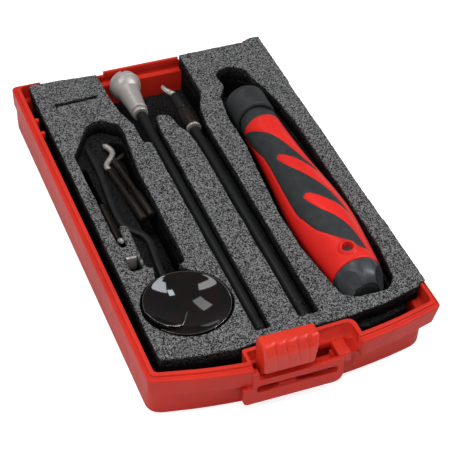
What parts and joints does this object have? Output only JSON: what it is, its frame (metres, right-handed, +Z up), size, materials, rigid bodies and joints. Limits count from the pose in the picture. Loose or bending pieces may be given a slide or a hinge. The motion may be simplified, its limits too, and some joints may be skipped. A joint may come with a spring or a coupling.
{
  "type": "hand deburring tool set in a case tray",
  "caption": "Open case tray with a foam insert holding a two-tone deburring handle, a countersink and a swivel blade holder, spare blades and a disc cutter.",
  "frame": {"origin": "middle of the flat underside of the tray, on the surface the tray stands on", "axes": "+X to the right across the tray, +Y from the latch side towards the hinge side, +Z up out of the open tray"},
  "size_m": [0.1146, 0.1974, 0.0288],
  "materials": {
    "tray_red": "moulded red plastic, satin with a faint orange peel, rubbed lighter on the rim",
    "latch_red": "moulded red plastic, slightly shinier than the tray",
    "foam": "open-cell grey foam, very rough and speckled, darker on the cut sides",
    "handle_red": "smooth red plastic",
    "grip_rubber": "soft black grip, matt with a fine grain",
    "collar_black": "black plastic, satin",
    "cap_grey": "dark grey plastic, half gloss",
    "black_steel": "black oxide steel with a thin oil sheen",
    "nickel": "warm satin nickel",
    "bright_steel": "bright ground steel",
    "brown_steel": "dark bronze-brown tempered steel",
    "gloss_black": "very glossy near-black coating on the disc",
    "spring_steel": "plain spring wire"
  },
  "bodies": {
    "case": {"tray_shell": "tray_red", "foam_top": "foam", "foam_middle": "foam", "foam_base": "foam"},
    "latch": {"latch_slider": "latch_red"},
    "handle": {"handle_core": "handle_red", "handle_overmold": "grip_rubber", "socket_tube": "bright_steel", "detent_ball": "bright_steel", "collar_snap_ring": "spring_steel", "collar_spring": "spring_steel", "button_spring": "spring_steel"},
    "collar": {"chuck_collar": "collar_black"},
    "cap": {"rear_cap": "cap_grey", "rear_cap_disc": "collar_black"},
    "button": {"release_button": "collar_black"},
    "countersink_tool": {"countersink_rod": "black_steel", "countersink_ring": "nickel", "countersink_sleeve": "nickel", "countersink_cutter": "nickel", "countersink_screw": "bright_steel"},
    "blade_holder": {"blade_holder_rod": "black_steel", "holder_ring": "bright_steel", "holder_ferrule": "brown_steel", "holder_nose": "black_steel"},
    "swivel_blade": {"swivel_blade": "bright_steel"},
    "spare_blade_1": {"loose_blade_1": "brown_steel"},
    "spare_blade_2": {"loose_blade_2": "brown_steel"},
    "small_spare_blade": {"small_blade": "brown_steel"},
    "scraper_insert": {"scraper_insert": "bright_steel"},
    "disc_tool": {"disc_shank": "black_steel", "disc_cutter": "gloss_black"}
  },
  "joints": [
    {"name": "latch_slide", "type": "slide", "parent": "case", "child": "latch", "axis": [1, 0, 0], "range_m": [0, 0.006]},
    {"name": "handle_lift", "type": "slide", "parent": "case", "child": "handle", "axis": [0, 0, 1], "range_m": [0, 0.06]},
    {"name": "collar_pull", "type": "slide", "parent": "handle", "child": "collar", "axis": [0, -1, 0], "range_m": [0, 0.0024], "stiffness_N_per_m": 900, "deforming": ["collar_spring"]},
    {"name": "cap_turn", "type": "hinge", "parent": "handle", "child": "cap", "pos_m": [0.0355, -0.07, 0.0165], "axis": [0, 1, 0], "range_deg": [0, 90]},
    {"name": "button_press", "type": "slide", "parent": "handle", "child": "button", "axis": [0.1564, 0, -0.9877], "range_m": [0, 0.0012], "stiffness_N_per_m": 600, "deforming": ["button_spring"]},
    {"name": "countersink_lift", "type": "slide", "parent": "case", "child": "countersink_tool", "axis": [0, 0, 1], "range_m": [0, 0.05]},
    {"name": "holder_lift", "type": "slide", "parent": "case", "child": "blade_holder", "axis": [0, 0, 1], "range_m": [0, 0.05]},
    {"name": "blade_swivel", "type": "hinge", "parent": "blade_holder", "child": "swivel_blade", "pos_m": [0.0087, 0.066, 0.0161], "axis": [0, 1, 0], "continuous": true},
    {"name": "spare_blade_1_lift", "type": "slide", "parent": "case", "child": "spare_blade_1", "axis": [0, 0, 1], "range_m": [0, 0.04]},
    {"name": "spare_blade_2_lift", "type": "slide", "parent": "case", "child": "spare_blade_2", "axis": [0, 0, 1], "range_m": [0, 0.04]},
    {"name": "small_blade_lift", "type": "slide", "parent": "case", "child": "small_spare_blade", "axis": [0, 0, 1], "range_m": [0, 0.03]},
    {"name": "insert_lift", "type": "slide", "parent": "case", "child": "scraper_insert", "axis": [0, 0, 1], "range_m": [0, 0.03]},
    {"name": "disc_lift", "type": "slide", "parent": "case", "child": "disc_tool", "axis": [0, 0, 1], "range_m": [0, 0.04]}
  ]
}
